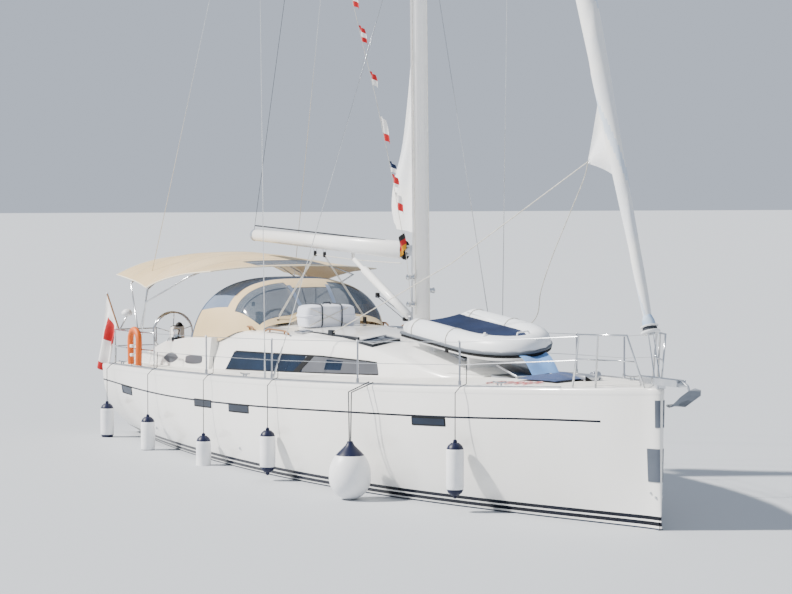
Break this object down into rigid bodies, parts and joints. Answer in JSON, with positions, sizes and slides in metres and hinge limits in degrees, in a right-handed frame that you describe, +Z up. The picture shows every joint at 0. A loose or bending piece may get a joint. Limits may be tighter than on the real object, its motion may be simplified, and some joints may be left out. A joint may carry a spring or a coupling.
{
  "type": "sailing yacht",
  "caption": "Cruising sloop with fin keel, spade rudder, twin wheels, furled sails, sprayhood, bimini and inflatable tender on the foredeck.",
  "frame": {"origin": "amidships on the centreline at the waterline", "axes": "+X to the bow, +Y to port, +Z up"},
  "size_m": [15.36, 4.5454, 22.3155],
  "materials": {
    "gelcoat": "glossy white gelcoat",
    "bottom_paint": "matt navy bottom paint",
    "aluminium": "anodised",
    "white_spar": "white paint on aluminium",
    "stainless": "polished stainless steel",
    "iron": "epoxy painted",
    "bronze": "cast bronze",
    "tinted_glass": "smoked acrylic",
    "canvas": "woven acrylic canvas",
    "sailcloth": "woven polyester sailcloth",
    "teak": "oiled",
    "white_plastic": "moulded",
    "tender_fabric": "coated fabric",
    "orange_foam": "vinyl covered foam",
    "flag_cloth": "knitted bunting",
    "rope": "braided polyester",
    "fender_vinyl": "inflated vinyl"
  },
  "bodies": {
    "hull": {"hull_shell": "gelcoat", "deck": "gelcoat", "coachroof": "gelcoat", "window_stbd": "tinted_glass", "window_port": "tinted_glass", "cockpit": "gelcoat", "keel": "iron", "saildrive": "aluminium", "engine": "iron", "cabin_sole": "teak", "mast": "white_spar", "mast_brackets": "aluminium", "headsail_furled": "sailcloth", "mainsail_clew": "sailcloth", "jib_sheet_port": "rope", "cap_shroud_stbd": "stainless", "cap_shroud_port": "stainless", "lower_shroud_stbd": "stainless", "lower_shroud_port": "stainless", "backstay_stbd": "stainless", "backstay_port": "stainless", "toe_rail_stbd": "aluminium", "toe_rail_port": "aluminium", "pulpit_stbd": "stainless", "pulpit_port": "stainless", "pushpit_stbd": "stainless", "pushpit_port": "stainless", "stem_fitting": "stainless", "anchor": "stainless", "windlass": "stainless", "cockpit_table": "teak", "sprayhood": "canvas", "bimini": "canvas", "bimini_frame": "stainless", "liferaft": "white_plastic", "tender_tubes": "tender_fabric", "tender_hull": "white_plastic", "lifebuoy": "orange_foam", "ensign": "flag_cloth", "fender_1": "fender_vinyl", "fender_2": "fender_vinyl", "fender_3": "fender_vinyl", "fender_4": "fender_vinyl", "fender_5": "fender_vinyl", "fender_ball": "fender_vinyl"},
    "boom_toggles": {"gooseneck_toggle": "aluminium", "vang_toggle": "aluminium"},
    "boom": {"boom": "white_spar"},
    "vang_tube": {"vang_tube": "white_spar"},
    "vang_rod": {"vang_rod": "white_spar"},
    "rudder": {"rudder": "bottom_paint"},
    "wheel_stbd": {"wheel_stbd": "stainless"},
    "wheel_port": {"wheel_port": "stainless"},
    "propeller": {"propeller": "bronze"},
    "companion_hatch": {"companion_hatch": "tinted_glass"},
    "companion_door": {"companion_door": "tinted_glass"},
    "bathing_platform": {"bathing_platform": "gelcoat"},
    "roof_hatch_stbd": {"roof_hatch_stbd": "tinted_glass"},
    "roof_hatch_port": {"roof_hatch_port": "tinted_glass"},
    "fore_hatch": {"fore_hatch": "tinted_glass"}
  },
  "joints": [
    {"name": "boom_swing", "type": "hinge", "parent": "hull", "child": "boom_toggles", "pos_m": [0.59, 0, 3.335], "axis": [-0.0219, 0, 0.9998], "range_deg": [-65, 65]},
    {"name": "boom_lift", "type": "hinge", "parent": "boom_toggles", "child": "boom", "pos_m": [0.59, 0, 3.335], "axis": [0, 1, 0], "range_deg": [-1, 5]},
    {"name": "vang_tilt", "type": "hinge", "parent": "boom_toggles", "child": "vang_tube", "pos_m": [0.612, 0, 2.33], "axis": [0, 1, 0], "range_deg": [-1, 4.5]},
    {"name": "vang_extend", "type": "slide", "parent": "vang_tube", "child": "vang_rod", "axis": [-0.9139, 0, 0.406], "range_m": [-0.02, 0.09]},
    {"name": "rudder_turn", "type": "hinge", "parent": "hull", "child": "rudder", "pos_m": [-6.3, 0, 0], "axis": [0, 0, 1], "range_deg": [-35, 35]},
    {"name": "wheel_turn_stbd", "type": "hinge", "parent": "hull", "child": "wheel_stbd", "pos_m": [-6.2, -1, 1.78], "axis": [0.9903, 0, -0.1392], "range_deg": [-355, 355]},
    {"name": "wheel_turn_port", "type": "hinge", "parent": "hull", "child": "wheel_port", "pos_m": [-6.2, 1, 1.78], "axis": [0.9903, 0, -0.1392], "range_deg": [-355, 355]},
    {"name": "propeller_spin", "type": "hinge", "parent": "hull", "child": "propeller", "pos_m": [-4.14, 0, -0.96], "axis": [1, 0, 0], "continuous": true},
    {"name": "companion_hatch_slide", "type": "slide", "parent": "hull", "child": "companion_hatch", "axis": [1, 0, 0], "range_m": [0, 0.63]},
    {"name": "companion_door_swing", "type": "hinge", "parent": "hull", "child": "companion_door", "pos_m": [-3.458, 0.34, 1.7], "axis": [0, 0, -1], "range_deg": [0, 95]},
    {"name": "bathing_platform_fold", "type": "hinge", "parent": "hull", "child": "bathing_platform", "pos_m": [-7.157, 0, 0.44], "axis": [0, -1, 0], "range_deg": [0, 90]},
    {"name": "roof_hatch_stbd_lift", "type": "hinge", "parent": "hull", "child": "roof_hatch_stbd", "pos_m": [1.195, -0.72, 2.046], "axis": [0, 0.9876, 0.1569], "range_deg": [0, 75]},
    {"name": "roof_hatch_port_lift", "type": "hinge", "parent": "hull", "child": "roof_hatch_port", "pos_m": [1.195, 0.72, 2.046], "axis": [0, 0.9876, -0.1569], "range_deg": [0, 75]},
    {"name": "fore_hatch_lift", "type": "hinge", "parent": "hull", "child": "fore_hatch", "pos_m": [4.12, 0, 1.695], "axis": [0, 1, 0], "range_deg": [-15, 0]}
  ],
  "couplings": [
    {"joint": "vang_tilt", "follows": "boom_lift", "ratio": 0.784},
    {"joint": "vang_extend", "follows": "boom_lift", "m_per_rad": 0.891},
    {"joint": "wheel_turn_stbd", "follows": "rudder_turn", "ratio": 10},
    {"joint": "wheel_turn_port", "follows": "rudder_turn", "ratio": 10}
  ]
}
